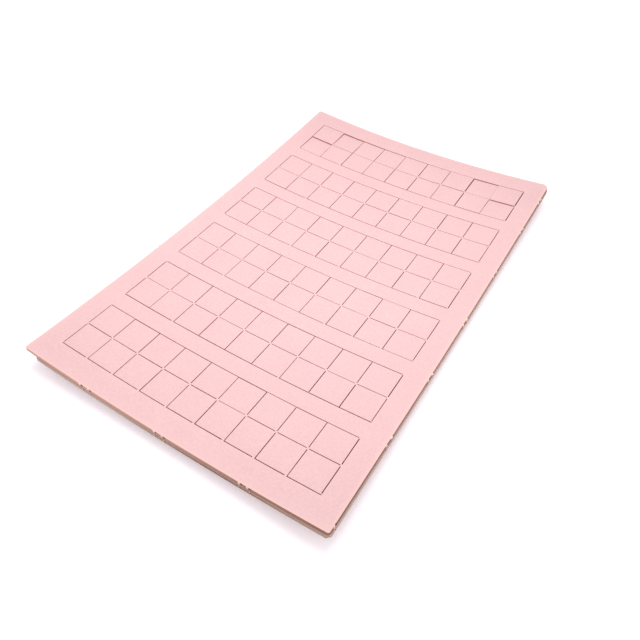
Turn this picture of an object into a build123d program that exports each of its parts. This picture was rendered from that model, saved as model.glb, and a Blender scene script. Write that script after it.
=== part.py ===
from build123d import *
import os
from collections import namedtuple
from math import asin, cos, degrees, sin, sqrt

# A stack of two die-cut greyboard sheets, each faced with pink paper on its upper side. Every sheet
# is cut into strips of square tiles that push out, with uncut bars between the strips and a margin
# all round. Both sheets are warped into a shallow dish and lie nearly nested.
# +Z is up, +Y runs along the sheets' long side, and the origin is the middle of the footprint on the
# surface that the stack rests on. All sizes are in millimetres.

# Tile grid
TILE_PITCH = 15.875             # 5/8 inch from cut to cut
CUT_WIDTH = 0.4                 # gap that the steel rule leaves
COLUMNS = 9                     # tiles across a strip
ROWS = 2                        # rows of tiles in a strip
STRIPS = 6
BAR_WIDTH = 9.8                 # uncut board between two strips
SIDE_MARGIN = 11.1              # uncut board beside the strips
END_MARGIN = 12.5               # uncut board beyond the first and last strip

# Layers of one sheet
BOARD_THICKNESS = 2.0
PAPER_THICKNESS = 0.15
SHEET_THICKNESS = BOARD_THICKNESS + PAPER_THICKNESS

# How the sheets lie
UPPER_RADIUS_X, UPPER_RADIUS_Y = 805.0, 1994.0      # bend of the underside across and along
LOWER_RADIUS_X, LOWER_RADIUS_Y = 900.0, 2150.0      # the lower sheet is pressed a little flatter
PRESSED_FLAT = 0.15             # how much of the dish's lowest point the surface below presses flat
AIR_GAP = 0.3                   # between the two sheets where they come closest
SHEET_SHIFT = 0.4               # the lower sheet lies this much further to +X
UPPER_CORNER_CUT = 2.5          # blunted corner at +X +Y
LOWER_CORNER_CUT = 6.0          # blunted corner at -X -Y

# Tiles of the upper sheet that have come loose: name, strip, row and column, each counted from 0
LOOSE_TILES = [
    ("loose_tile_left", 5, 0, 0),
    ("loose_tile_back", 5, 1, 1),
    ("loose_tile_right", 5, 1, 8),
]

# Sizes that follow
TILE = TILE_PITCH - CUT_WIDTH
STRIP_WIDTH = COLUMNS * TILE_PITCH
STRIP_DEPTH = ROWS * TILE_PITCH
STRIP_PITCH = STRIP_DEPTH + BAR_WIDTH
SHEET_WIDTH = STRIP_WIDTH + 2 * SIDE_MARGIN
SHEET_LENGTH = STRIPS * STRIP_DEPTH + (STRIPS - 1) * BAR_WIDTH + 2 * END_MARGIN
TALL = 30.0                     # more than the height of the stack, for cutting straight through
SPARE = 5.0                     # overhang of the dished slab before it is trimmed to the outline

# One dished sheet: the place of its middle, the lowest point of its underside, its two bends, the
# signs of X and Y at its blunted corner, and the size of that corner
Sheet = namedtuple("Sheet", "name shift base radius_x radius_y corner corner_cut")

lower = Sheet("lower", SHEET_SHIFT / 2, -PRESSED_FLAT, LOWER_RADIUS_X, LOWER_RADIUS_Y,
              (-1, -1), LOWER_CORNER_CUT)
upper = Sheet("upper", -SHEET_SHIFT / 2, SHEET_THICKNESS - PRESSED_FLAT + AIR_GAP,
              UPPER_RADIUS_X, UPPER_RADIUS_Y, (1, 1), UPPER_CORNER_CUT)

BOARD = (0.0, BOARD_THICKNESS)                  # a layer's two heights above the sheet's underside
PAPER = (BOARD_THICKNESS, SHEET_THICKNESS)


def underside_plane(sheet, x, y):
    """The plane that touches a sheet's underside at a point given from the sheet's middle."""
    rise = sheet.radius_x - sqrt(sheet.radius_x**2 - x**2)
    swing = sheet.radius_y - rise
    depth = sqrt(swing**2 - y**2)
    slope_x = x / sqrt(sheet.radius_x**2 - x**2) * swing / depth
    slope_y = y / depth
    height = sheet.base + sheet.radius_y - depth
    return Plane(origin=(sheet.shift + x, y, height), z_dir=(-slope_x, -slope_y, 1))


def strip_centre(strip):
    return (strip - (STRIPS - 1) / 2) * STRIP_PITCH


def tile_centre(strip, row, column):
    x = (column - (COLUMNS - 1) / 2) * TILE_PITCH
    y = strip_centre(strip) + (row - (ROWS - 1) / 2) * TILE_PITCH
    return x, y


def tile_solid(sheet, place, layer):
    """One layer of one tile: upright sides, and flat faces that follow the dish at its middle.
    It starts at the surface that the stack rests on, so what would reach below is pressed flat."""
    x, y = tile_centre(*place)
    touching = underside_plane(sheet, x, y)
    with BuildPart() as tile:
        with BuildSketch(Plane.XY):
            with Locations((sheet.shift + x, y)):
                Rectangle(TILE, TILE)
        extrude(amount=TALL)
        split(bisect_by=touching.offset(layer[1]), keep=Keep.BOTTOM)
        split(bisect_by=touching.offset(layer[0]), keep=Keep.TOP)
    return tile.part.solid()


def frame_layer(sheet, layer):
    """One layer of a sheet's frame: a dished slab, trimmed to the outline and the strips' windows,
    and pressed flat where it would reach below the surface that the stack rests on."""
    half_turn = asin((SHEET_LENGTH / 2 + SPARE) / (sheet.radius_y - SPARE))
    pivot_height = sheet.base + sheet.radius_y
    first_section = Plane(
        origin=(sheet.shift, -sheet.radius_y * sin(half_turn),
                pivot_height - sheet.radius_y * cos(half_turn)),
        x_dir=(1, 0, 0),
        z_dir=(0, -cos(half_turn), sin(half_turn)),
    )
    half_fan = degrees(asin((SHEET_WIDTH / 2 + SPARE) / sheet.radius_x))
    with BuildPart() as frame:
        with BuildSketch(first_section):
            with BuildLine():
                edges = [
                    CenterArc((0, sheet.radius_x), sheet.radius_x - height, 270 - half_fan,
                              2 * half_fan)
                    for height in layer
                ]
                Line(edges[0] @ 0, edges[1] @ 0)
                Line(edges[0] @ 1, edges[1] @ 1)
            make_face()
        revolve(axis=Axis((0, 0, pivot_height), (1, 0, 0)), revolution_arc=2 * degrees(half_turn))
        with BuildSketch(Plane.XY) as outline:
            with Locations((sheet.shift, 0)):
                Rectangle(SHEET_WIDTH, SHEET_LENGTH)
            sign_x, sign_y = sheet.corner
            blunted = outline.vertices().sort_by(lambda point: point.X * sign_x + point.Y * sign_y)[-1]
            chamfer(blunted, sheet.corner_cut)
            for strip in range(STRIPS):
                with Locations((sheet.shift, strip_centre(strip))):
                    Rectangle(STRIP_WIDTH + CUT_WIDTH, STRIP_DEPTH + CUT_WIDTH, mode=Mode.SUBTRACT)
        extrude(amount=TALL, mode=Mode.INTERSECT)
    return frame.part


def save(shape, name):
    shape.label = name
    export_step(shape, f"parts/{name}.step")


os.makedirs("parts", exist_ok=True)

# Frames: the board with its windows, and the paper glued on it
for sheet in (lower, upper):
    save(frame_layer(sheet, BOARD), f"{sheet.name}_frame")
    save(frame_layer(sheet, PAPER), f"{sheet.name}_frame_paper")

# Strips of tiles: the board squares share one node, and their paper squares another
loose_places = [place for _, *place in LOOSE_TILES]
for sheet in (lower, upper):
    for strip in range(STRIPS):
        places = [[strip, row, column] for row in range(ROWS) for column in range(COLUMNS)]
        if sheet is upper:
            places = [place for place in places if place not in loose_places]
        board_squares = [tile_solid(sheet, place, BOARD) for place in places]
        with BuildPart() as strip_tiles:
            add(board_squares)
        save(strip_tiles.part, f"{sheet.name}_strip_{strip + 1}_tiles")
        paper_squares = [tile_solid(sheet, place, PAPER) for place in places]
        with BuildPart() as strip_papers:
            add(paper_squares)
        save(strip_papers.part, f"{sheet.name}_strip_{strip + 1}_papers")

# Loose tiles of the upper sheet's last strip, each with its own paper
for name, *place in LOOSE_TILES:
    with BuildPart() as loose_tile:
        add(tile_solid(upper, place, BOARD))
    save(loose_tile.part, name)
    with BuildPart() as loose_paper:
        add(tile_solid(upper, place, PAPER))
    save(loose_paper.part, f"{name}_paper")

print(f"sheet {SHEET_WIDTH:.2f} x {SHEET_LENGTH:.2f} x {SHEET_THICKNESS:.2f} mm")
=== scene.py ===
import math
import random
from collections import namedtuple

import bmesh
import bpy
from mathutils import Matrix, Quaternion, Vector, noise


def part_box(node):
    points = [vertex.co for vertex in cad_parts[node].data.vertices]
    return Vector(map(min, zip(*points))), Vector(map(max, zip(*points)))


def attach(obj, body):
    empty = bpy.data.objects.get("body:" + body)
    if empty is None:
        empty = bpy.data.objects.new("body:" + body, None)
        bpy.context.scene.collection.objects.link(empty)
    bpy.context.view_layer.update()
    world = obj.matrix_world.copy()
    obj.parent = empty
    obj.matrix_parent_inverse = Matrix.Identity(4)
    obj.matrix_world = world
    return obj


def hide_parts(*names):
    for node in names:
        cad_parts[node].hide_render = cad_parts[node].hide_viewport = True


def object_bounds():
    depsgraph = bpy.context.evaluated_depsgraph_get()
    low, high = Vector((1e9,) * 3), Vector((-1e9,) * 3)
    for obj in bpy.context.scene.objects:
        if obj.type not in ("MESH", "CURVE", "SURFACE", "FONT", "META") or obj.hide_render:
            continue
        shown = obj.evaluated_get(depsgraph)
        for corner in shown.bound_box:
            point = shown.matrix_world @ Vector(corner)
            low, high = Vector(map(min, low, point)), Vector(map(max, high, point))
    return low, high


# Two die-cut greyboard sheets faced with pink paper, lying one on the other. Each sheet is one fine
# grid of cells: the cells in the die's cuts are left out, and the others belong to the frame or to a
# tile. Lengths are in millimetres, and become metres when a mesh is made.

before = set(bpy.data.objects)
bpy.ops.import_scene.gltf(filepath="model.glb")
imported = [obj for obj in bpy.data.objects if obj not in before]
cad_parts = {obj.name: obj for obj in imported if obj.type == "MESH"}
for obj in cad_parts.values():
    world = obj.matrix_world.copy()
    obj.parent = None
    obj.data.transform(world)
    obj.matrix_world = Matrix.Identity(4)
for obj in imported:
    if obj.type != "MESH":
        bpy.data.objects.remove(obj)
cad_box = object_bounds()
scene = bpy.context.scene
MM = 0.001                      # one millimetre in metres
TINY = 1e-6                     # millimetres; lines closer than this are the same line

# ---------------------------------------------------------------- sizes
STRIPS, ROWS, COLUMNS = 6, 2, 9     # strips of a sheet, and rows and columns of tiles in a strip
HALF_CUT = 0.2                  # half the gap that the steel rule leaves
NARROW_NICK = 0.33              # half the length of a short nick, where the rule is notched
WIDE_NICK = 0.6                 # half the length of a long nick
SIDE_NICK = 1.2                 # length of a nick to the left of a cross cut
# Grid lines beside a cut's middle
CUT_LINES = (-WIDE_NICK, -NARROW_NICK, -HALF_CUT, 0.0, HALF_CUT, NARROW_NICK, WIDE_NICK)
EDGE_LINES = (0.3, 0.7, 1.2)    # grid lines inside the outer edge, where the paper rolls down
CELL = 5.0                      # size of the cells away from the cuts

BOARD = 2.0                     # thickness of the board, and of the paper on it
PAPER = 0.15
SHEET = BOARD + PAPER
BOARD_STEPS = (0.0, 0.3, 0.62, 1.0)     # heights of the vertices on its cut edge, as a share of it
PAPER_STEPS = (0.0, 1.0)

ROLL_DEPTH = 0.09               # how far the rule presses the paper's edge down
ROLL_REACH = 0.16               # and how soon the paper is level again
CUT_LIPS = (                    # how far the paper hangs over the long cuts, by strip and row of cuts
    (0.0, 0.03, 0.02),
    (0.0, 0.07, 0.0),
    (0.06, 0.06, 0.05),
    (0.05, 0.05, 0.04),
    (0.0, 0.04, 0.04),
    (0.0, 0.04, 0.0),
)
WAVE_HEIGHT = 0.07              # slight unevenness of the lined board
WAVE_LENGTH = 38.0
WAVE_APART = 90                 # spacing of the sheets' waves in the noise, by seed
RIM_WIDTH = 1.5                 # width of the painted highlight band along the sheet's outer edge
EDGE_FUZZ = 0.05                # roughness of the board's cut edges
FUZZ_LENGTH = 1.1               # its grain along the edge, and how fast it changes with height
FUZZ_LAYERING = 4
FUZZ_APART = Vector((31.0, 17.0, 5.0))      # from the noise for X to the noise for Y
CORNER_PIVOT = 9.5              # corners are drawn in from this far inside both sides
DEEP_CORNER = 1.0               # a corner blunted by more than this has its own grid lines

# Random settling of a tile, as ranges: sideways, twist in degrees, lift, and rise along and across
SETTLE_SHIFT = (-0.05, 0.05)
SETTLE_TWIST = (-0.15, 0.15)
SETTLE_LIFT = (-0.05, 0.04)
SETTLE_TILT = (-0.004, 0.004)

# Chances of a nick where a cross cut meets a long cut
OPEN_AT_SIDE = 0.6              # that the middle cut reaches a strip's end
CORNER_NICKED = 0.6             # that a strip's corner is held by short nicks
SIDE_NICKED = 0.3               # that a cut on the near side has a nick to its left
CROSS_NICKED = 0.15             # that a cross cut stops short of a long cut

# Added to a sheet's seed, so that its settling and its torn nicks draw numbers of their own
SETTLING_SEED, TEARING_SEED = 100, 40

Sheet = namedtuple("Sheet", "name radius_x radius_y sunk corners seed "
                            "shift base reach_x reach_y column_cuts row_cuts")
Settled = namedtuple("Settled", "shift_x shift_y twist lift tilt_x tilt_y")


def strip_cuts(name):
    """Where a strip's cuts run, from its box on the frame: the columns' cuts, and the rows' cuts."""
    low, high = (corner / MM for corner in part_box(name))
    across = [low.x - HALF_CUT + (high.x - low.x + 2 * HALF_CUT) * c / COLUMNS
              for c in range(COLUMNS + 1)]
    along = [low.y - HALF_CUT + (high.y - low.y + 2 * HALF_CUT) * r / ROWS
             for r in range(ROWS + 1)]
    return across, along


def make_sheet(name, radius_x, radius_y, sunk, corners, seed):
    """A sheet's facts. The radii are its bends across and along, sunk is how much of its dish is
    pressed flat, and corners is how much each corner is blunted, by the signs of X and Y."""
    low, high = (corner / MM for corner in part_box(f"{name}_frame"))
    shift = (low.x + high.x) / 2
    strips = [strip_cuts(f"{name}_strip_{s + 1}_tiles") for s in range(STRIPS)]
    column_cuts = [x - shift for x in strips[0][0]]
    row_cuts = [along for _, along in strips]
    return Sheet(name, radius_x, radius_y, sunk, corners, seed, shift, low.z - sunk,
                 (high.x - low.x) / 2, (high.y - low.y) / 2, column_cuts, row_cuts)


LOWER = make_sheet("lower", radius_x=900.0, radius_y=2150.0, sunk=0.15,
                   corners={(-1, -1): 6.0, (1, -1): 1.6, (-1, 1): 0.8, (1, 1): 0.9}, seed=11)
UPPER = make_sheet("upper", radius_x=805.0, radius_y=1994.0, sunk=0.0,
                   corners={(1, 1): 2.5, (-1, 1): 1.2, (-1, -1): 0.45, (1, -1): 0.45}, seed=5)

# Tiles of the upper sheet that have come loose, by strip, row and column, each counted from 0
LOOSE = {
    "loose_tile_left": (5, 0, 0),
    "loose_tile_back": (5, 1, 1),
    "loose_tile_right": (5, 1, 8),
}

# Cross cuts of each sheet's last strip that have come open at their middle, counted from 0
OPEN_CUTS = (2, 3, 4)

# How tiles of the upper sheet's last strip have settled, by strip, row and column: shifts along X
# and Y, twist in degrees, lift of the middle, and rise along X and Y for each millimetre
LAST_STRIP = {
    (5, 0, 0): Settled(-0.06, -0.12, 0.3, -0.28, -0.005, -0.030),
    (5, 1, 1): Settled(-0.02, -0.15, 0.0, -0.28, 0.003, -0.042),
    (5, 1, 2): Settled(0.0, -0.10, 0.0, -0.16, 0.0, -0.020),
    (5, 1, 3): Settled(0.02, -0.08, 0.1, -0.08, 0.0, -0.012),
    (5, 1, 6): Settled(-0.04, 0.09, 0.0, 0.04, 0.0, 0.0),
    (5, 1, 7): Settled(0.14, -0.09, 0.0, -0.20, 0.006, -0.030),
    (5, 1, 8): Settled(-0.17, 0.08, -0.2, -0.06, 0.002, -0.006),
    (5, 0, 7): Settled(0.11, 0.08, 0.0, 0.03, 0.002, 0.0),
    (5, 0, 8): Settled(-0.11, -0.06, -0.2, -0.26, 0.004, -0.028),
}


# ---------------------------------------------------------------- cuts and nicks
def choose_nick(dice, strip, row, column):
    """How far a long cut stops short to the left and to the right of the place where it meets a
    cross cut, and how far the cross cut stops short of it."""
    at_side = column in (0, COLUMNS)
    come_open = strip == STRIPS - 1 and column in OPEN_CUTS
    chance = dice.random()
    if row == 1 and at_side:
        near = 0.0 if chance < OPEN_AT_SIDE else NARROW_NICK
        return near, near, WIDE_NICK
    if row == 1:
        return WIDE_NICK, WIDE_NICK, (0.0 if come_open else WIDE_NICK)
    if at_side and chance < CORNER_NICKED:
        return NARROW_NICK, NARROW_NICK, NARROW_NICK
    if at_side:
        return 0.0, 0.0, WIDE_NICK
    if row == 0 and (strip == 0 or chance < SIDE_NICKED):
        return SIDE_NICK, 0.0, 0.0
    if chance > 1.0 - CROSS_NICKED:
        return 0.0, 0.0, NARROW_NICK
    return 0.0, 0.0, 0.0


def plan_nicks(sheet):
    """The nicks at every crossing, by strip, row of cuts and column of cuts."""
    dice = random.Random(sheet.seed)
    return {
        (strip, row, column): choose_nick(dice, strip, row, column)
        for strip in range(STRIPS)
        for row in range(ROWS + 1)
        for column in range(COLUMNS + 1)
    }


def nearest(values, x):
    """Which of the values is closest to x, counted from 0."""
    return min(range(len(values)), key=lambda k: abs(values[k] - x))


def outside(sideways, endways):
    """Distance from a cut, from the distances beside it and beyond its end."""
    if endways <= 0:
        return sideways
    return math.hypot(max(sideways, 0.0), endways)


def cut_distances(sheet, nicks, u, v):
    """How far (u, v) is outside the nearest long cut and the nearest cross cut. A negative distance
    is inside the cut."""
    strip = nearest([sum(cuts) / len(cuts) for cuts in sheet.row_cuts], v)
    rows, columns = sheet.row_cuts[strip], sheet.column_cuts
    row, column = nearest(rows, v), nearest(columns, u)
    left_gap, right_gap, cross_gap = nicks[strip, row, column]
    long_gap = left_gap if u < columns[column] else right_gap
    du, dv = abs(u - columns[column]), abs(v - rows[row])
    beyond_u = max(columns[0] - HALF_CUT - u, u - columns[-1] - HALF_CUT, 0.0)
    beyond_v = max(rows[0] - HALF_CUT - v, v - rows[-1] - HALF_CUT, 0.0)
    along_long = beyond_u + max(long_gap - du, 0.0)
    along_cross = beyond_v + max(cross_gap - dv, 0.0)
    return (outside(dv - HALF_CUT, along_long), outside(du - HALF_CUT, along_cross))


def owner_of(sheet, nicks, u, v):
    """What the cell round (u, v) belongs to: the frame, a tile, or nothing in a cut."""
    if min(cut_distances(sheet, nicks, u, v)) < 0:
        return None
    columns = sheet.column_cuts
    column = sum(u > cut for cut in columns) - 1
    if not 0 <= column < COLUMNS:
        return "frame"
    for strip, rows in enumerate(sheet.row_cuts):
        if rows[0] < v < rows[-1]:
            tile = (strip, sum(v > cut for cut in rows) - 1, column)
            clear = min(abs(u - columns[column]), abs(u - columns[column + 1]),
                        abs(v - rows[tile[1]]), abs(v - rows[tile[1] + 1]))
            nick_gone = sheet is UPPER and tile in LOOSE.values() and clear < HALF_CUT
            return None if nick_gone else tile
    return "frame"


def grid_lines(cuts, reach, extra):
    """Grid lines along one axis: close together beside the cuts and the edges, wide apart between
    them, and with the extra lines."""
    close = {-reach, reach, *extra}
    close.update(cut + offset for cut in cuts for offset in CUT_LINES)
    close.update(side * (reach - inset) for side in (-1, 1) for inset in EDGE_LINES)
    close = sorted(close)
    lines = []
    for start, end in zip(close, close[1:]):
        steps = max(1, round((end - start) / CELL))
        lines += [start + (end - start) * k / steps for k in range(steps)]
    return lines + [close[-1]]


class Grid:
    """A sheet's grid of cells, what each cell belongs to, and how its tiles have settled."""

    def __init__(self, sheet):
        self.sheet = sheet
        self.nicks = plan_nicks(sheet)
        deep = [(sign, cut) for sign, cut in sheet.corners.items() if cut > DEEP_CORNER]
        self.us = grid_lines(sheet.column_cuts, sheet.reach_x,
                             [sign[0] * (sheet.reach_x - cut) for sign, cut in deep]
                             + [cut - SIDE_NICK for cut in sheet.column_cuts])
        self.vs = grid_lines([cut for rows in sheet.row_cuts for cut in rows], sheet.reach_y,
                             [sign[1] * (sheet.reach_y - cut) for sign, cut in deep])
        self.held_columns = {i for i, u in enumerate(self.us)
                             if min(abs(u - cut) for cut in sheet.column_cuts) < TINY}
        self.held_rows = {j for j, v in enumerate(self.vs)
                          if min(abs(v - cut) for rows in sheet.row_cuts for cut in rows) < TINY}
        self.lips = [self.paper_lip(v) for v in self.vs]
        self.owners = {}
        self.cells = {}
        for i in range(len(self.us) - 1):
            for j in range(len(self.vs) - 1):
                u = (self.us[i] + self.us[i + 1]) / 2
                v = (self.vs[j] + self.vs[j + 1]) / 2
                owner = owner_of(sheet, self.nicks, u, v)
                if owner is not None:
                    self.owners[i, j] = owner
                    self.cells.setdefault(owner, []).append((i, j))
        self.settled = self.settle_tiles()
        self.closeness = {}

    def settle_tiles(self):
        """Every tile sits a little off its place, held by its nicks."""
        dice = random.Random(self.sheet.seed + SETTLING_SEED)
        settled = {}
        for tile in sorted(owner for owner in self.cells if owner != "frame"):
            settled[tile] = Settled(dice.uniform(*SETTLE_SHIFT), dice.uniform(*SETTLE_SHIFT),
                                    dice.uniform(*SETTLE_TWIST), dice.uniform(*SETTLE_LIFT),
                                    dice.uniform(*SETTLE_TILT), dice.uniform(*SETTLE_TILT))
        if self.sheet is UPPER:
            settled.update(LAST_STRIP)
        return settled

    def paper_lip(self, v):
        """How far the paper's edge moves towards the long cut beside it. 0 away from the cuts."""
        for rows, lips in zip(self.sheet.row_cuts, CUT_LIPS):
            for cut, lip in zip(rows, lips):
                if abs(abs(v - cut) - HALF_CUT) < TINY:
                    return math.copysign(lip, v - cut)
        return 0.0

    def edge_closeness(self, i, j):
        """1 at the rim of a cut or of the sheet, and falling to 0 away from it."""
        if (i, j) not in self.closeness:
            u, v = self.us[i], self.vs[j]
            to_edge = min(self.sheet.reach_x - abs(u), self.sheet.reach_y - abs(v))
            distance = max(0.0, min(to_edge, *cut_distances(self.sheet, self.nicks, u, v)))
            self.closeness[i, j] = math.exp(-distance / ROLL_REACH)
        return self.closeness[i, j]

    def rim_closeness(self, i, j):
        """1 at the sheet's outer edge, and falling to 0 at the rim's width inside it."""
        inside = min(self.sheet.reach_x - abs(self.us[i]), self.sheet.reach_y - abs(self.vs[j]))
        return max(0.0, 1.0 - inside / RIM_WIDTH)


# ---------------------------------------------------------------- the dished surface
def dish(sheet, u, v):
    """Height of a sheet's underside, and how much longer an upright line is than the thickness."""
    across = math.sqrt(sheet.radius_x**2 - u**2)
    swing = sheet.radius_y - sheet.radius_x + across
    along = math.sqrt(swing**2 - v**2)
    slope_x = u / across * swing / along
    slope_y = v / along
    height = sheet.base + sheet.radius_y - along
    return height, math.sqrt(1 + slope_x**2 + slope_y**2)


def blunt_corner(sheet, u, v):
    """Draws the sheet's corners in to their blunted outline."""
    sign = (1 if u > 0 else -1, 1 if v > 0 else -1)
    cut = sheet.corners[sign]
    inset_x, inset_y = sheet.reach_x - abs(u), sheet.reach_y - abs(v)
    pivot = CORNER_PIVOT
    if inset_x >= pivot or inset_y >= pivot:
        return u, v
    run_x, run_y = pivot - inset_x, pivot - inset_y
    to_outline = min(pivot / run_x, pivot / run_y)
    to_cut = (2 * pivot - cut) / (run_x + run_y)
    if to_cut >= to_outline:
        return u, v
    kept = to_cut / to_outline
    return (sign[0] * (sheet.reach_x - pivot + run_x * kept),
            sign[1] * (sheet.reach_y - pivot + run_y * kept))


def point_on(grid, owner, i, j, level, fuzz):
    """Where a vertex lies: level is its height above the sheet's underside. Vertices on the held
    lines, where the nicks meet, don't settle with their tile."""
    sheet = grid.sheet
    u, v = grid.us[i], grid.vs[j]
    height, stretch = dish(sheet, u, v)
    share = level / SHEET
    wave = WAVE_HEIGHT * noise.noise(Vector((u, v, WAVE_APART * sheet.seed)) / WAVE_LENGTH)
    height += wave + level * stretch - ROLL_DEPTH * grid.edge_closeness(i, j) * share**2
    x, y = blunt_corner(sheet, u, v)
    loose = sheet is UPPER and owner in LOOSE.values()
    held = not loose and (i in grid.held_columns or j in grid.held_rows)
    if owner != "frame" and not held:
        strip, row, column = owner
        settled = grid.settled[owner]
        du = u - (sheet.column_cuts[column] + sheet.column_cuts[column + 1]) / 2
        dv = v - (sheet.row_cuts[strip][row] + sheet.row_cuts[strip][row + 1]) / 2
        twist = math.radians(settled.twist)
        x += settled.shift_x - twist * dv
        y += settled.shift_y + twist * du
        height += settled.lift + settled.tilt_x * du + settled.tilt_y * dv
    if level > BOARD:
        y -= grid.lips[j]
    if fuzz and not held:
        spot = Vector((u / FUZZ_LENGTH, v / FUZZ_LENGTH, FUZZ_LAYERING * level + sheet.seed))
        x += fuzz * noise.noise(spot)
        y += fuzz * noise.noise(spot + FUZZ_APART)
    return Vector((sheet.shift + x, y, max(height, 0.0)))


# The four sides of a cell: where each starts and ends, and which cell lies beyond it
SIDES = (((0, 0), (1, 0), (0, -1)), ((1, 0), (1, 1), (1, 0)),
         ((1, 1), (0, 1), (0, 1)), ((0, 1), (0, 0), (-1, 0)))
SMOOTH_BELOW = math.radians(50)         # faces that meet at less than this are shaded smoothly


class Shell:
    """The vertices and faces of one piece, with what its materials read from the vertices: level
    above the underside, nearness to a cut or to the outer edge (where the paper is painted paler as a
    highlight), torn (1 a tuft, -1 a dark lump that paints the shadow of a pit), and rim at the outer
    edge."""

    def __init__(self):
        self.points, self.levels, self.worn, self.torn, self.rim = [], [], [], [], []
        self.faces, self.on_edge = [], []

    def add_point(self, point, level, worn, torn=0.0, rim=1.0):
        self.points.append(point)
        self.levels.append(level)
        self.worn.append(worn)
        self.torn.append(torn)
        self.rim.append(rim)
        return len(self.points) - 1

    def add_face(self, corners, on_edge):
        self.faces.append(corners)
        self.on_edge.append(on_edge)

    def to_object(self, name, face_material, edge_material):
        """The piece, with the first material on its faces and the second on its cut edges."""
        mesh = bpy.data.meshes.new(name)
        mesh.from_pydata([point * MM for point in self.points], [], self.faces)
        for label, values in (("level", self.levels), ("worn", self.worn), ("torn", self.torn),
                              ("rim", self.rim)):
            mesh.attributes.new(label, "FLOAT", "POINT").data.foreach_set("value", values)
        mesh.materials.append(face_material)
        mesh.materials.append(edge_material)
        mesh.polygons.foreach_set("material_index", [int(edge) for edge in self.on_edge])
        mesh.polygons.foreach_set("use_smooth", [True] * len(self.faces))
        mesh.set_sharp_from_angle(angle=SMOOTH_BELOW)
        mesh.update()
        made = bpy.data.objects.new(name, mesh)
        scene.collection.objects.link(made)
        return made


def add_layer(shell, grid, owner, bottom, top, steps):
    """One layer of a frame or a tile as a closed solid, between two heights above the underside."""
    known = {}

    def corner(i, j, step):
        key = (i, j, step)
        if key not in known:
            level = bottom + (top - bottom) * steps[step]
            fuzz = EDGE_FUZZ if 0 < step < len(steps) - 1 else 0.0
            place = point_on(grid, owner, i, j, level, fuzz)
            known[key] = shell.add_point(place, level, grid.edge_closeness(i, j),
                                         rim=grid.rim_closeness(i, j))
        return known[key]

    last = len(steps) - 1
    for i, j in grid.cells[owner]:
        ring = ((i, j), (i + 1, j), (i + 1, j + 1), (i, j + 1))
        shell.add_face([corner(*spot, last) for spot in ring], False)
        shell.add_face([corner(*spot, 0) for spot in reversed(ring)], False)
        for start, end, beyond in SIDES:
            if grid.owners.get((i + beyond[0], j + beyond[1])) == owner:
                continue
            a, b = (i + start[0], j + start[1]), (i + end[0], j + end[1])
            for step in range(last):
                shell.add_face([corner(*a, step), corner(*b, step),
                                corner(*b, step + 1), corner(*a, step + 1)], True)


# ---------------------------------------------------------------- torn nicks on the outer edges
NICK_PAIR = 4.6                 # distance between the two nicks of a pair
NICK_STRAY = (-0.4, 0.4)        # how far a nick strays from its place
CORNER_CLEAR = 1.0              # no nick on a long side comes closer to a corner
LONG_EDGE_NICKS = (-131.0, -83.2, -41.6, 0.0, 41.6, 83.2, 115.0)
SHORT_EDGE_NICKS = (-45.0, -2.0, 43.0)
RAGGED = (0.72, 1.2)            # how far a lump's corners come out, as a share
LUMP_CLEAR = 0.01               # a lump stays this far below the paper's face
TUFT_SIZE = ((0.5, 0.8), (0.3, 0.42), (0.5, 0.7))       # half sizes along, out of and up the edge
PIT_SHADOW_SIZE = ((0.4, 0.55), (0.1, 0.16), (0.5, 0.65))
TUFT_LEVEL = (1.45, 1.7)        # height of a tuft's middle above the sheet's underside
PIT_SHADOW_DROP = 0.2                  # the middle of the dark lump that paints a pit's shadow is this much lower
PIT_SHADOW_BESIDE = (0.85, 1.05)       # and this far beside the tuft
LOWER_SCALE, LONG_SIDE_SCALE, SHORT_SIDE_SCALE = 0.6, 1.3, 1.15     # of tufts and painted pit shadows


def lump_shape():
    """The corners and faces of a small round lump, one unit in radius."""
    shape = bmesh.new()
    bmesh.ops.create_icosphere(shape, subdivisions=2, radius=1.0)
    corners = [vertex.co.copy() for vertex in shape.verts]
    faces = [[vertex.index for vertex in face.verts] for face in shape.faces]
    shape.free()
    return corners, faces


def add_lump(shell, grid, spot, outward, size, level, torn, dice):
    """A ragged lump on the board's outer edge, with its half sizes along, out of and up the edge."""
    sheet = grid.sheet
    height, stretch = dish(sheet, *spot)
    x, y = blunt_corner(sheet, *spot)
    corners, faces = LUMP
    first = len(shell.points)
    for corner in corners:
        ragged = corner * dice.uniform(*RAGGED)
        side, out, up = ragged.x * size.x, ragged.y * size.y, ragged.z * size.z
        at_level = min(level + up, SHEET - LUMP_CLEAR)
        shell.add_point(Vector((sheet.shift + x + outward[0] * out - outward[1] * side,
                                y + outward[1] * out + outward[0] * side,
                                height + at_level * stretch)), at_level, 0.0, torn)
    for face in faces:
        shell.add_face([first + index for index in face], True)


def random_size(dice, ranges):
    return Vector([dice.uniform(*limits) for limits in ranges])


def add_torn_nick(shell, grid, u, v, outward, dice):
    """A tuft of torn fibres, and beside it a dark lump that paints the shadow of the pit that they
    were pulled from. The upper sheet's tufts are larger, and the largest are on its long sides."""
    scale = LOWER_SCALE
    if grid.sheet is UPPER:
        scale = LONG_SIDE_SCALE if outward[0] else SHORT_SIDE_SCALE
    tuft = scale * random_size(dice, TUFT_SIZE)
    pit_shadow = scale * random_size(dice, PIT_SHADOW_SIZE)
    level = dice.uniform(*TUFT_LEVEL)
    add_lump(shell, grid, (u, v), outward, tuft, level, 1.0, dice)
    beside = scale * dice.uniform(*PIT_SHADOW_BESIDE)
    place = (u + beside * abs(outward[1]), v + beside * abs(outward[0]))
    # A dark lump that paints the pit's shadow.
    add_lump(shell, grid, place, outward, pit_shadow, level - PIT_SHADOW_DROP, -1.0, dice)


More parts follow.
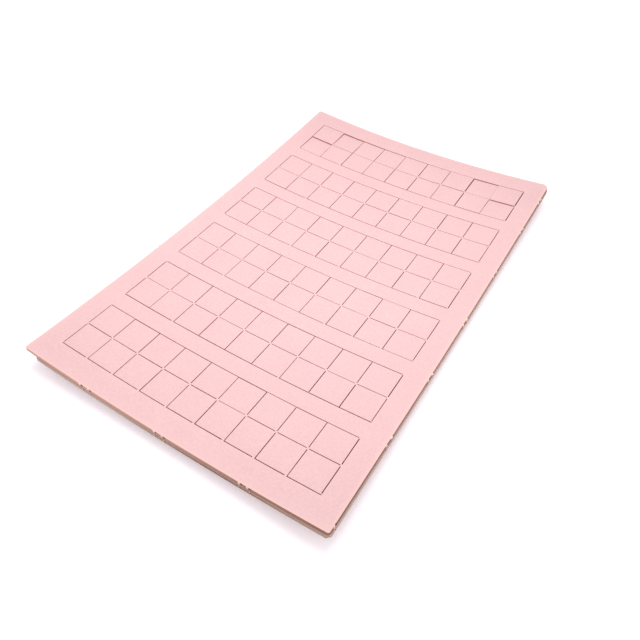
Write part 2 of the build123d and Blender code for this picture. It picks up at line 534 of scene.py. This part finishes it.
def add_torn_nicks(shell, grid):
    """Pairs of torn nicks along a sheet's four sides, where it was held in its own parent sheet."""
    sheet = grid.sheet
    dice = random.Random(sheet.seed + TEARING_SEED)
    for end in (-1, 1):
        for half in (-NICK_PAIR / 2, NICK_PAIR / 2):
            for v in LONG_EDGE_NICKS:
                place = v + half + dice.uniform(*NICK_STRAY)
                if abs(place) < sheet.reach_y - CORNER_CLEAR:
                    add_torn_nick(shell, grid, end * sheet.reach_x, place, (end, 0), dice)
            for u in SHORT_EDGE_NICKS:
                place = u + half + dice.uniform(*NICK_STRAY)
                add_torn_nick(shell, grid, place, end * sheet.reach_y, (0, end), dice)


LUMP = lump_shape()


# ---------------------------------------------------------------- materials
def start_material(name):
    """A new material, its node tree and its shader."""
    material = bpy.data.materials.new(name)
    material.use_nodes = True
    tree = material.node_tree
    shader = tree.nodes["Principled BSDF"]
    return material, tree, shader


def add_node(tree, kind, **settings):
    node = tree.nodes.new(kind)
    for key, value in settings.items():
        setattr(node, key, value)
    return node


def object_place(tree):
    return add_node(tree, "ShaderNodeTexCoord").outputs["Object"]


def vertex_value(tree, label):
    return add_node(tree, "ShaderNodeAttribute", attribute_name=label).outputs["Fac"]


def split_place(tree, place):
    node = add_node(tree, "ShaderNodeSeparateXYZ")
    tree.links.new(place, node.inputs[0])
    return node.outputs


def multiply(tree, first, second):
    """The product of a socket and either another socket or a number."""
    node = add_node(tree, "ShaderNodeMath", operation="MULTIPLY")
    tree.links.new(first, node.inputs[0])
    if isinstance(second, float):
        node.inputs[1].default_value = second
    else:
        tree.links.new(second, node.inputs[1])
    return node.outputs[0]


def layered_place(tree, spread, layering):
    """Coordinates that lie along the plies: fine through the board's thickness, and long beside it."""
    split = split_place(tree, object_place(tree))
    joined = add_node(tree, "ShaderNodeCombineXYZ")
    for axis in ("X", "Y"):
        tree.links.new(multiply(tree, split[axis], spread), joined.inputs[axis])
    tree.links.new(multiply(tree, vertex_value(tree, "level"), layering), joined.inputs["Z"])
    return joined.outputs[0]


def noise_value(tree, place, scale, detail, rough=0.55):
    """Noise from 0 to 1. The scale is in lumps for each unit of the place, which is a metre in the
    object's own place."""
    node = add_node(tree, "ShaderNodeTexNoise")
    tree.links.new(place, node.inputs["Vector"])
    node.inputs["Scale"].default_value = scale
    node.inputs["Detail"].default_value = detail
    node.inputs["Roughness"].default_value = rough
    return node.outputs["Fac"]


def colour_ramp(tree, value, *stops):
    """Stops are pairs of a place from 0 to 1 and a linear colour."""
    ramp = add_node(tree, "ShaderNodeValToRGB")
    elements = ramp.color_ramp.elements
    while len(elements) < len(stops):
        elements.new(0.5)
    for element, (place, colour) in zip(elements, stops):
        element.position = place
        element.color = (*colour, 1.0)
    tree.links.new(value, ramp.inputs[0])
    return ramp.outputs[0]


def distance_from(tree, place, point):
    node = add_node(tree, "ShaderNodeVectorMath", operation="DISTANCE")
    tree.links.new(place, node.inputs[0])
    node.inputs[1].default_value = point
    return node.outputs["Value"]


def value_ramp(tree, value, span, result=(0.0, 1.0)):
    """The value, carried from the span's ends to the result's ends, and held beyond them."""
    node = add_node(tree, "ShaderNodeMapRange")
    tree.links.new(value, node.inputs["Value"])
    node.inputs["From Min"].default_value, node.inputs["From Max"].default_value = span
    node.inputs["To Min"].default_value, node.inputs["To Max"].default_value = result
    return node.outputs["Result"]


MOST_NOISE = (0.3, 0.7)         # nearly all values of a noise lie between these
MIX_SHARE, MIX_FIRST, MIX_SECOND, MIX_RESULT = 0, 6, 7, 2       # a colour mix's sockets


def mix_colour(tree, share, first, second, blend="MIX"):
    """Mixes a colour socket with another colour socket or a fixed colour. The share of the second
    is a socket or a number."""
    node = add_node(tree, "ShaderNodeMix", data_type="RGBA", blend_type=blend)
    tree.links.new(first, node.inputs[MIX_FIRST])
    if isinstance(share, float):
        node.inputs[MIX_SHARE].default_value = share
    else:
        tree.links.new(share, node.inputs[MIX_SHARE])
    if isinstance(second, tuple):
        node.inputs[MIX_SECOND].default_value = (*second, 1.0)
    else:
        tree.links.new(second, node.inputs[MIX_SECOND])
    return node.outputs[MIX_RESULT]


def set_roughness(tree, shader, value, result):
    tree.links.new(value_ramp(tree, value, MOST_NOISE, result), shader.inputs["Roughness"])


def add_bump(tree, shader, heights):
    """Stacks bumps: each height comes with its strength and its depth in millimetres."""
    normal = None
    for height, strength, depth in heights:
        bump = add_node(tree, "ShaderNodeBump")
        bump.inputs["Strength"].default_value = strength
        bump.inputs["Distance"].default_value = depth * MM
        tree.links.new(height, bump.inputs["Height"])
        if normal is not None:
            tree.links.new(normal, bump.inputs["Normal"])
        normal = bump.outputs["Normal"]
    tree.links.new(normal, shader.inputs["Normal"])


# Linear colours
PINK = (0.642, 0.407, 0.41)
PALE_PINK = (0.672, 0.439, 0.44)
DEEP_PINK = (0.61, 0.374, 0.381)
LIGHT_SPECK = (0.70, 0.466, 0.466)
DARK_SPECK = (0.58, 0.347, 0.353)
# Painted highlight: the pale peach of the paper's rolled outer rim
RIM_HIGHLIGHT_PINK = (0.69, 0.45, 0.425)
PAPER_CORE = (0.62, 0.36, 0.35)
GREY_BROWN = (0.36, 0.205, 0.15)
DARK_FIBRE = (0.19, 0.095, 0.065)
LIGHT_FIBRE = (0.44, 0.27, 0.21)
# Painted shadow: the colour of the dark lumps that stand for shaded pits
PIT_SHADOW = (0.10, 0.04, 0.025)
TORN_FIBRE = (0.74, 0.58, 0.47)
BOUNCE_LIT_PULP = (0.485, 0.385, 0.315)   # the lower sheet's board edges are painted paler, for the floor's bounce light on them
RIGHT_LIT_PULP = (0.56, 0.47, 0.365)    # and painted palest on its right side, for the floor's bounce light there
FRONT_LIT_PULP = (0.57, 0.335, 0.255)  # the upper sheet's front side is painted paler than its other sides, as it is lit more
CUT_WALL = (0.72, 0.27, 0.26)       # top of the cuts' walls, painted pinkish red as a reflection of the pink paper in the cut
REFLECTION_HEIGHTS = (0.7 * BOARD, 0.88 * BOARD)      # heights between which that colour sets in

# Places on the cut edges in metres, from the box round both sheets
FRONT, BACK, RIGHT = cad_box[0].y, cad_box[1].y, cad_box[1].x
CORNER_HEIGHT = 0.012           # of the upper sheet at its corners
FRONT_SPOT = (0.028, FRONT, 0.005)      # on the lower sheet's front side, where a contact shadow is painted

# A stretch of a sheet's cut edges with painted shade: its middle and reach in metres, how strong
# the painted shade is, and the colour that multiplies the board's
Grime = namedtuple("Grime", "middle reach share tint")
# Painted shade: the edges round the near corner, which lies in shade, are darkened
NEAR_CORNER, NEAR_SHADE = (RIGHT, FRONT, CORNER_HEIGHT), (0.45, 0.41, 0.335)
# Painted shade: the far right corner's edges are painted a cool grey for the cooler light there
FAR_CORNER, FAR_SHADE = (RIGHT, BACK, CORNER_HEIGHT), (0.58, 0.60, 0.64)
# Painted contact shadow on the lower sheet's front side, where it lies close to the floor
FRONT_SHADE = (0.64, 0.52, 0.52)

# What sets a sheet's cut edges apart, all of it painted light and shade: how much paler its board
# is painted for the floor's bounce light, its painted shade spots, and the side painted lighter where
# light falls on it: the axis, from where to where along it the colour sets in, how strong it is,
# and the colour
EdgeLook = namedtuple("EdgeLook", "paleness grimes axis span share colour")
EDGE_LOOKS = {
    "upper": EdgeLook(0.0, (Grime(NEAR_CORNER, 0.125, 1.0, NEAR_SHADE),
                            Grime(FAR_CORNER, 0.07, 1.0, FAR_SHADE)),
                      "Y", (FRONT + 0.45 * MM, FRONT + 0.15 * MM), 0.75, FRONT_LIT_PULP),
    "lower": EdgeLook(0.6, (Grime(NEAR_CORNER, 0.125, 0.3, NEAR_SHADE),
                            Grime(FAR_CORNER, 0.07, 0.4, FAR_SHADE),
                            Grime(FRONT_SPOT, 0.055, 1.2, FRONT_SHADE)),
                      "X", (RIGHT - 0.94 * MM, RIGHT - 0.24 * MM), 0.72, RIGHT_LIT_PULP),
}


def pink_paper():
    """Matt dyed lining paper: cloudy dye, fine specks and fibres, painted paler beside each cut as a
    highlight, and a painted highlight band along the sheet's outer edge, where the paper rolls over."""
    material, tree, shader = start_material("pink_paper")
    place = object_place(tree)
    clouds = noise_value(tree, place, scale=55.0, detail=5.0)
    grain = noise_value(tree, place, scale=900.0, detail=6.0, rough=0.65)
    fibres = noise_value(tree, place, scale=3200.0, detail=3.0, rough=0.6)
    colour = colour_ramp(tree, clouds, (0.05, DEEP_PINK), (0.5, PINK), (1.0, PALE_PINK))
    speckle = colour_ramp(tree, grain, (0.37, DARK_SPECK), (0.5, PINK), (0.63, LIGHT_SPECK))
    colour = mix_colour(tree, value_ramp(tree, fibres, (0.0, 1.0), (0.25, 0.55)), colour, speckle)
    # Painted highlight: the paper is painted paler beside each cut, mottled by the grain, for the
    # light that its rolled-down edge catches.
    beside_cut = value_ramp(tree, vertex_value(tree, "worn"), (0.3, 1.0), (0.0, 0.55))
    cut_highlight = multiply(tree, beside_cut, value_ramp(tree, grain, (0.35, 0.6)))
    colour = mix_colour(tree, cut_highlight, colour, PALE_PINK)
    # Painted highlight: a pale peach band along the outer edge, where the rolled paper catches the
    # light.
    rim_highlight = value_ramp(tree, vertex_value(tree, "rim"), (0.0, 0.7), (0.0, 0.9))
    colour = mix_colour(tree, rim_highlight, colour, RIM_HIGHLIGHT_PINK)
    tree.links.new(colour, shader.inputs["Base Color"])
    set_roughness(tree, shader, grain, (0.62, 0.82))
    shader.inputs["Specular IOR Level"].default_value = 0.28
    add_bump(tree, shader, [(clouds, 0.15, 0.3), (grain, 0.25, 0.04), (fibres, 0.35, 0.015)])
    return material


def paper_core():
    """The paper's own cut edge, deeper in colour than its face, and fibrous."""
    material, tree, shader = start_material("paper_core")
    fibres = noise_value(tree, object_place(tree), scale=2600.0, detail=5.0, rough=0.6)
    colour = colour_ramp(tree, fibres, (0.3, DEEP_PINK), (0.6, PAPER_CORE), (0.8, PALE_PINK))
    tree.links.new(colour, shader.inputs["Base Color"])
    set_roughness(tree, shader, fibres, (0.8, 0.95))
    shader.inputs["Specular IOR Level"].default_value = 0.2
    add_bump(tree, shader, [(fibres, 0.6, 0.03)])
    return material


def greyboard_face():
    """The bare underside: recycled pulp with darker and lighter flecks."""
    material, tree, shader = start_material("greyboard_face")
    place = object_place(tree)
    pulp = noise_value(tree, place, scale=320.0, detail=8.0, rough=0.65)
    fibres = noise_value(tree, place, scale=2400.0, detail=4.0, rough=0.6)
    flecks = add_node(tree, "ShaderNodeTexVoronoi")
    tree.links.new(place, flecks.inputs["Vector"])
    flecks.inputs["Scale"].default_value = 620.0
    flecks.inputs["Randomness"].default_value = 1.0
    fleck = value_ramp(tree, flecks.outputs["Distance"], (0.08, 0.2), (0.75, 0.0))
    colour = colour_ramp(tree, pulp, (0.3, GREY_BROWN), (0.7, LIGHT_FIBRE))
    colour = mix_colour(tree, fleck, colour, DARK_FIBRE)
    tree.links.new(colour, shader.inputs["Base Color"])
    set_roughness(tree, shader, fibres, (0.82, 0.98))
    shader.inputs["Specular IOR Level"].default_value = 0.15
    add_bump(tree, shader, [(pulp, 0.3, 0.12), (fibres, 0.5, 0.04)])
    return material


def pulp_colour(tree, plies, streaks, pulls):
    """The plies' colours, with finer streaks let in where fibres are pulled."""
    colour = colour_ramp(tree, plies, (0.3, DARK_FIBRE), (0.48, GREY_BROWN), (0.7, LIGHT_FIBRE))
    second = colour_ramp(tree, streaks, (0.35, GREY_BROWN), (0.7, LIGHT_FIBRE))
    return mix_colour(tree, value_ramp(tree, pulls, MOST_NOISE, (0.2, 0.6)), colour, second)


def set_apart(tree, place, colour, look):
    """Paints a sheet's board paler for bounce light as its look says, paints one side lighter where
    light falls on it, and paints shade on stretches of it.
    """
    # Painted light: the board is painted paler as far as the look says, for the floor's bounce light.
    colour = mix_colour(tree, look.paleness, colour, BOUNCE_LIT_PULP)
    # Painted light: one side of the edges is painted paler, where light falls on it.
    along_axis = split_place(tree, place)[look.axis]
    on_side = value_ramp(tree, along_axis, look.span, (0.0, look.share))
    colour = mix_colour(tree, on_side, colour, look.colour)
    # Painted shade: each spot darkens the edges round it.
    for shade in look.grimes:
        away = distance_from(tree, place, shade.middle)
        shading = value_ramp(tree, away, (0.0, shade.reach), (shade.share, 0.0))
        colour = mix_colour(tree, shading, colour, shade.tint, "MULTIPLY")
    return colour


def colour_cuts_and_nicks(tree, pulls, colour):
    """Redder tops of the cuts' walls, a painted reflection of the pink paper, the pale tufts of the
    torn nicks, and the dark lumps that paint the shadows of their pits.
    """
    inside = value_ramp(tree, vertex_value(tree, "rim"), (0.0, 0.3), (1.0, 0.0))
    # Painted reflection: the tops of the cuts' walls are painted pinkish red.
    reflected_pink = value_ramp(tree, vertex_value(tree, "level"), REFLECTION_HEIGHTS, (0.0, 0.9))
    colour = mix_colour(tree, multiply(tree, inside, reflected_pink), colour, CUT_WALL)
    torn = vertex_value(tree, "torn")
    tuft = colour_ramp(tree, pulls, (0.3, LIGHT_FIBRE), (0.5, TORN_FIBRE))
    colour = mix_colour(tree, value_ramp(tree, torn, (0.0, 1.0)), colour, tuft)
    # Painted shadow: the dark lumps beside the tufts stand for shaded pits.
    return mix_colour(tree, value_ramp(tree, torn, (0.0, -1.0)), colour, PIT_SHADOW)


def greyboard_edge(name, look):
    """The board's cut edge: plies of pulp with pulled fibres, with a look for each sheet."""
    material, tree, shader = start_material(name)
    place = object_place(tree)
    along_plies = layered_place(tree, spread=260.0, layering=5.5)
    along_streaks = layered_place(tree, spread=900.0, layering=13.0)
    plies = noise_value(tree, along_plies, scale=1.0, detail=5.0, rough=0.6)
    streaks = noise_value(tree, along_streaks, scale=1.0, detail=3.0, rough=0.6)
    pulls = noise_value(tree, place, scale=2600.0, detail=4.0, rough=0.6)
    colour = pulp_colour(tree, plies, streaks, pulls)
    colour = set_apart(tree, place, colour, look)
    colour = colour_cuts_and_nicks(tree, pulls, colour)
    tree.links.new(colour, shader.inputs["Base Color"])
    set_roughness(tree, shader, pulls, (0.85, 1.0))
    shader.inputs["Specular IOR Level"].default_value = 0.12
    add_bump(tree, shader, [(plies, 0.6, 0.12), (streaks, 0.5, 0.06), (pulls, 0.5, 0.05)])
    return material


PINK_PAPER = pink_paper()
PAPER_EDGE = paper_core()
BOARD_FACE = greyboard_face()
BOARD_EDGES = {"upper": greyboard_edge("greyboard_edge", EDGE_LOOKS["upper"]),
               "lower": greyboard_edge("pale_greyboard_edge", EDGE_LOOKS["lower"])}


# ---------------------------------------------------------------- the pieces
def make_pair(grid, owners, body, board_name, board_node, paper_name, paper_node, nicks=False):
    """A board piece and the paper on it, for a frame, a strip of tiles or a loose tile."""
    board, paper = Shell(), Shell()
    for owner in owners:
        add_layer(board, grid, owner, 0.0, BOARD, BOARD_STEPS)
        add_layer(paper, grid, owner, BOARD, SHEET, PAPER_STEPS)
    if nicks:
        add_torn_nicks(board, grid)
    board_piece = board.to_object(board_name, BOARD_FACE, BOARD_EDGES[grid.sheet.name])
    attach(board_piece, body)
    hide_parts(board_node)
    paper_piece = paper.to_object(paper_name, PINK_PAPER, PAPER_EDGE)
    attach(paper_piece, body)
    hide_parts(paper_node)


def make_sheet_pieces(grid):
    """A sheet's frame and its strips of tiles, without the upper sheet's loose tiles."""
    name = grid.sheet.name
    separate = LOOSE.values() if grid.sheet is UPPER else ()
    make_pair(grid, ["frame"], f"{name}_sheet", f"{name}_frame_board", f"{name}_frame",
              f"{name}_frame_lining", f"{name}_frame_paper", nicks=True)
    for strip in range(STRIPS):
        label = f"{name}_strip_{strip + 1}"
        tiles = sorted(owner for owner in grid.cells
                       if owner != "frame" and owner[0] == strip and owner not in separate)
        body = label if grid.sheet is UPPER else f"{name}_sheet"
        make_pair(grid, tiles, body, f"{label}_board_squares", f"{label}_tiles",
                  f"{label}_paper_squares", f"{label}_papers")


upper_grid = Grid(UPPER)
make_sheet_pieces(Grid(LOWER))
make_sheet_pieces(upper_grid)
for loose_name, loose_tile in LOOSE.items():
    make_pair(upper_grid, [loose_tile], loose_name, f"{loose_name}_board", loose_name,
              f"{loose_name}_lining", f"{loose_name}_paper")


# ---------------------------------------------------------------- floor, light and camera
# Lengths here are in metres
FLOOR_HALF = 3.0
FLOOR_PALE, FLOOR_PALER = (0.93, 0.89, 0.93), (0.95, 0.91, 0.94)
FLOOR_GLOW, GLOW_STRENGTH = (1.0, 0.95, 1.0), 0.23      # a bright table, lit a little from within
SKY_COLOUR, SKY_STRENGTH = (0.97, 0.975, 1.0), 0.945
KEY_SIZE, KEY_POWER = 0.25, 0.6
KEY_PLACE, KEY_COLOUR = (-0.01, 0.0, 0.26), (1.0, 0.99, 0.97)
AZIMUTH, ELEVATION, ROLL = math.radians(32.07), math.radians(45.25), math.radians(0.90)
CAMERA_DISTANCE = 0.33243
CAMERA_TARGET = Vector((0.00309, -0.02897, 0.00445))
SENSOR_WIDTH, LENS = 36.0, 35.84        # millimetres
LENS_SHIFT = (0.0322, -0.0310)
CLIP = (0.01, 20.0)


def make_floor():
    """A pale matt floor under the stack."""
    corners = [(-FLOOR_HALF, -FLOOR_HALF, 0), (FLOOR_HALF, -FLOOR_HALF, 0),
               (FLOOR_HALF, FLOOR_HALF, 0), (-FLOOR_HALF, FLOOR_HALF, 0)]
    mesh = bpy.data.meshes.new("floor")
    mesh.from_pydata(corners, [], [(0, 1, 2, 3)])
    material, tree, shader = start_material("pale_floor")
    cloud = noise_value(tree, object_place(tree), scale=3.0, detail=2.0)
    colour = colour_ramp(tree, cloud, (0.0, FLOOR_PALE), (1.0, FLOOR_PALER))
    tree.links.new(colour, shader.inputs["Base Color"])
    shader.inputs["Roughness"].default_value = 0.9
    shader.inputs["Specular IOR Level"].default_value = 0.1
    shader.inputs["Emission Color"].default_value = (*FLOOR_GLOW, 1.0)
    shader.inputs["Emission Strength"].default_value = GLOW_STRENGTH
    mesh.materials.append(material)
    floor = bpy.data.objects.new("floor", mesh)
    scene.collection.objects.link(floor)


def make_key_lamp():
    """A round softbox above the stack, aimed at the middle of its footprint."""
    data = bpy.data.lights.new("key_softbox", "AREA")
    data.shape = "DISK"
    data.size = KEY_SIZE
    data.energy = KEY_POWER
    data.color = KEY_COLOUR
    lamp = bpy.data.objects.new("key_softbox", data)
    scene.collection.objects.link(lamp)
    lamp.location = KEY_PLACE
    lamp.rotation_mode = "QUATERNION"
    lamp.rotation_quaternion = (-Vector(KEY_PLACE)).to_track_quat("-Z", "Y")


def make_sky():
    """An even, soft light from all round."""
    world = bpy.data.worlds.new("soft_white_room")
    scene.world = world
    world.use_nodes = True
    sky = world.node_tree.nodes["Background"]
    sky.inputs["Color"].default_value = (*SKY_COLOUR, 1.0)
    sky.inputs["Strength"].default_value = SKY_STRENGTH


def make_camera():
    """Looks down over the front right corner, with the sheets' far end to the right."""
    back = Vector((math.sin(AZIMUTH) * math.cos(ELEVATION),
                   -math.cos(AZIMUTH) * math.cos(ELEVATION), math.sin(ELEVATION)))
    data = bpy.data.cameras.new("camera")
    data.sensor_width = SENSOR_WIDTH
    data.lens = LENS
    data.shift_x, data.shift_y = LENS_SHIFT
    data.clip_start, data.clip_end = CLIP
    camera = bpy.data.objects.new("camera", data)
    scene.collection.objects.link(camera)
    camera.location = CAMERA_TARGET + back * CAMERA_DISTANCE
    camera.rotation_mode = "QUATERNION"
    camera.rotation_quaternion = (-back).to_track_quat("-Z", "Y") @ Quaternion((0, 0, 1), ROLL)
    scene.camera = camera


make_floor()
make_sky()
make_key_lamp()
make_camera()
scene.view_settings.view_transform = "Standard"
